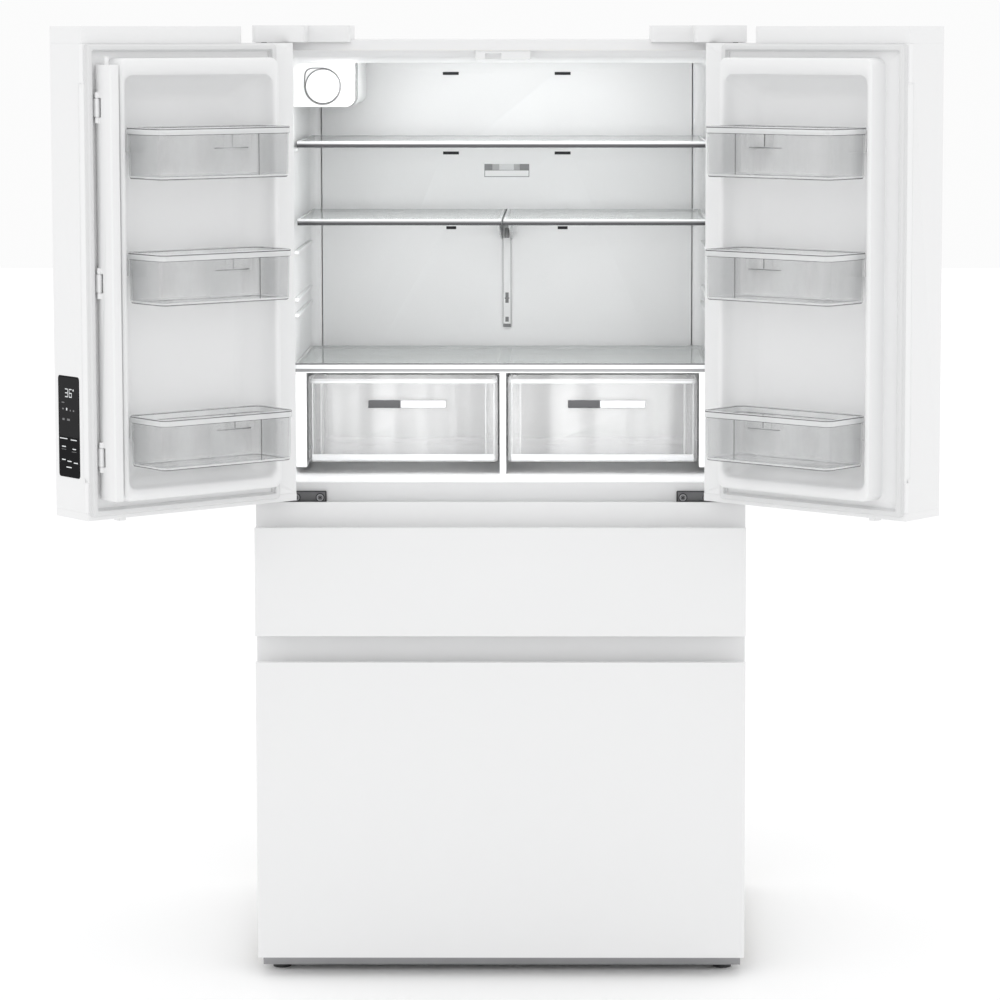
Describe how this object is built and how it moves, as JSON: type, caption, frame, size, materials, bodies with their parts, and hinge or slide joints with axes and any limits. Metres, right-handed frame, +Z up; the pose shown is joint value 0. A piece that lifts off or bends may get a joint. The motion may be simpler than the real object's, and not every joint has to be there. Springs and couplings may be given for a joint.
{
  "type": "french door refrigerator",
  "caption": "White french door refrigerator with its doors standing open over two drawers, with glass shelves, crispers, door bins and a flip mullion.",
  "frame": {"origin": "on the floor, under the middle of the whole object as it stands with its doors open", "axes": "+Z up, the front faces -Y, +X to the viewer's right as they face the front"},
  "size_m": [1.5792, 1.0618, 1.77],
  "materials": {
    "white_paint": "smooth white enamel, satin gloss",
    "galvanised_sheet": "plain galvanised sheet",
    "foam": "rigid insulating foam, matt",
    "white_liner": "white vacuum-formed liner, soft gloss",
    "white_plastic": "white moulded plastic",
    "seal_grey": "pale grey magnetic gasket, matt",
    "bracket_grey": "grey moulded plastic",
    "shelf_glass": "clear tempered glass",
    "shelf_trim": "silver-grey shelf frame",
    "clear_plastic": "clear styrene",
    "tub_plastic": "frosted white plastic",
    "zinc_steel": "zinc-plated steel",
    "fin_aluminium": "bare fins",
    "black_steel": "black paint",
    "black_plastic": "black moulded plastic",
    "display_glass": "gloss black touch panel"
  },
  "bodies": {
    "cabinet": {"cabinet_shell": "white_paint", "back_panel": "galvanised_sheet", "cabinet_foam": "foam", "fridge_liner": "white_liner", "drawer_liners": "white_liner", "front_rails": "white_paint", "base_frame": "galvanised_sheet", "machine_cover": "galvanised_sheet", "air_duct_panel": "white_liner", "mullion_guide": "white_plastic", "filter_housing": "white_plastic", "shelf_ladder": "white_plastic", "top_shelf_glass": "shelf_glass", "top_shelf_trim": "shelf_trim", "half_shelf_glass": "shelf_glass", "half_shelf_trims": "shelf_trim", "crisper_cover_glass": "shelf_glass", "crisper_cover_trim": "shelf_trim", "crisper_frames": "white_plastic", "hinge_covers": "white_paint", "door_hinges": "zinc_steel", "hinge_screws": "zinc_steel", "evaporator": "fin_aluminium", "compressor": "black_steel", "condenser": "black_steel", "water_valve": "white_plastic", "power_inlet": "black_plastic", "levelling_feet": "black_plastic", "fixed_slides": "zinc_steel"},
    "left_door": {"left_door_skin": "white_paint", "left_door_liner": "white_liner", "left_door_gasket": "seal_grey", "left_door_caps": "white_paint", "left_door_bins": "clear_plastic", "control_panel": "display_glass", "mullion_brackets": "bracket_grey"},
    "mullion": {"mullion_bar": "white_plastic"},
    "right_door": {"right_door_skin": "white_paint", "right_door_liner": "white_liner", "right_door_gasket": "seal_grey", "right_door_caps": "white_paint", "right_door_bins": "clear_plastic"},
    "middle_drawer": {"middle_drawer_front": "white_paint", "middle_drawer_core": "white_liner", "middle_drawer_gasket": "seal_grey", "middle_drawer_tub": "tub_plastic", "middle_drawer_slides": "zinc_steel"},
    "freezer_drawer": {"freezer_drawer_front": "white_paint", "freezer_drawer_core": "white_liner", "freezer_drawer_gasket": "seal_grey", "freezer_drawer_tub": "tub_plastic", "freezer_drawer_slides": "zinc_steel"},
    "freezer_basket": {"freezer_basket": "tub_plastic"},
    "left_crisper": {"left_crisper": "clear_plastic"},
    "right_crisper": {"right_crisper": "clear_plastic"},
    "water_filter": {"water_filter": "white_plastic"},
    "evaporator_fan": {"evaporator_fan": "black_plastic"},
    "condenser_fan": {"condenser_fan": "black_plastic"},
    "front_rollers": {"front_rollers": "black_plastic"},
    "rear_rollers": {"rear_rollers": "black_plastic"}
  },
  "joints": [
    {"name": "left_door_hinge", "type": "hinge", "parent": "cabinet", "child": "left_door", "pos_m": [-0.432, -0.172, 1.318], "axis": [0, 0, -1], "range_deg": [-140, 0]},
    {"name": "right_door_hinge", "type": "hinge", "parent": "cabinet", "child": "right_door", "pos_m": [0.432, -0.172, 1.318], "axis": [0, 0, 1], "range_deg": [-140, 0]},
    {"name": "mullion_flip", "type": "hinge", "parent": "left_door", "child": "mullion", "pos_m": [-0.6968, -0.48883, 1.318], "axis": [0, 0, 1], "range_deg": [-90, 0]},
    {"name": "middle_drawer_slide", "type": "slide", "parent": "cabinet", "child": "middle_drawer", "axis": [0, -1, 0], "range_m": [0, 0.4]},
    {"name": "freezer_drawer_slide", "type": "slide", "parent": "cabinet", "child": "freezer_drawer", "axis": [0, -1, 0], "range_m": [0, 0.4]},
    {"name": "freezer_basket_slide", "type": "slide", "parent": "freezer_drawer", "child": "freezer_basket", "axis": [0, 1, 0], "range_m": [0, 0.22]},
    {"name": "left_crisper_slide", "type": "slide", "parent": "cabinet", "child": "left_crisper", "axis": [0, -1, 0], "range_m": [0, 0.34]},
    {"name": "right_crisper_slide", "type": "slide", "parent": "cabinet", "child": "right_crisper", "axis": [0, -1, 0], "range_m": [0, 0.34]},
    {"name": "water_filter_turn", "type": "hinge", "parent": "cabinet", "child": "water_filter", "pos_m": [-0.3395, 0.181, 1.6555], "axis": [0, 1, 0], "range_deg": [0, 90]},
    {"name": "evaporator_fan_spin", "type": "hinge", "parent": "cabinet", "child": "evaporator_fan", "pos_m": [0, 0.458, 1.248], "axis": [0, 1, 0], "continuous": true},
    {"name": "condenser_fan_spin", "type": "hinge", "parent": "cabinet", "child": "condenser_fan", "pos_m": [0.06, 0.451, 0.151], "axis": [1, 0, 0], "continuous": true},
    {"name": "front_roller_spin", "type": "hinge", "parent": "cabinet", "child": "front_rollers", "pos_m": [0, -0.089, 0.019], "axis": [1, 0, 0], "continuous": true},
    {"name": "rear_roller_spin", "type": "hinge", "parent": "cabinet", "child": "rear_rollers", "pos_m": [0, 0.471, 0.018], "axis": [1, 0, 0], "continuous": true}
  ],
  "couplings": [
    {"joint": "mullion_flip", "follows": "left_door_hinge", "ratio": 0.64286}
  ]
}
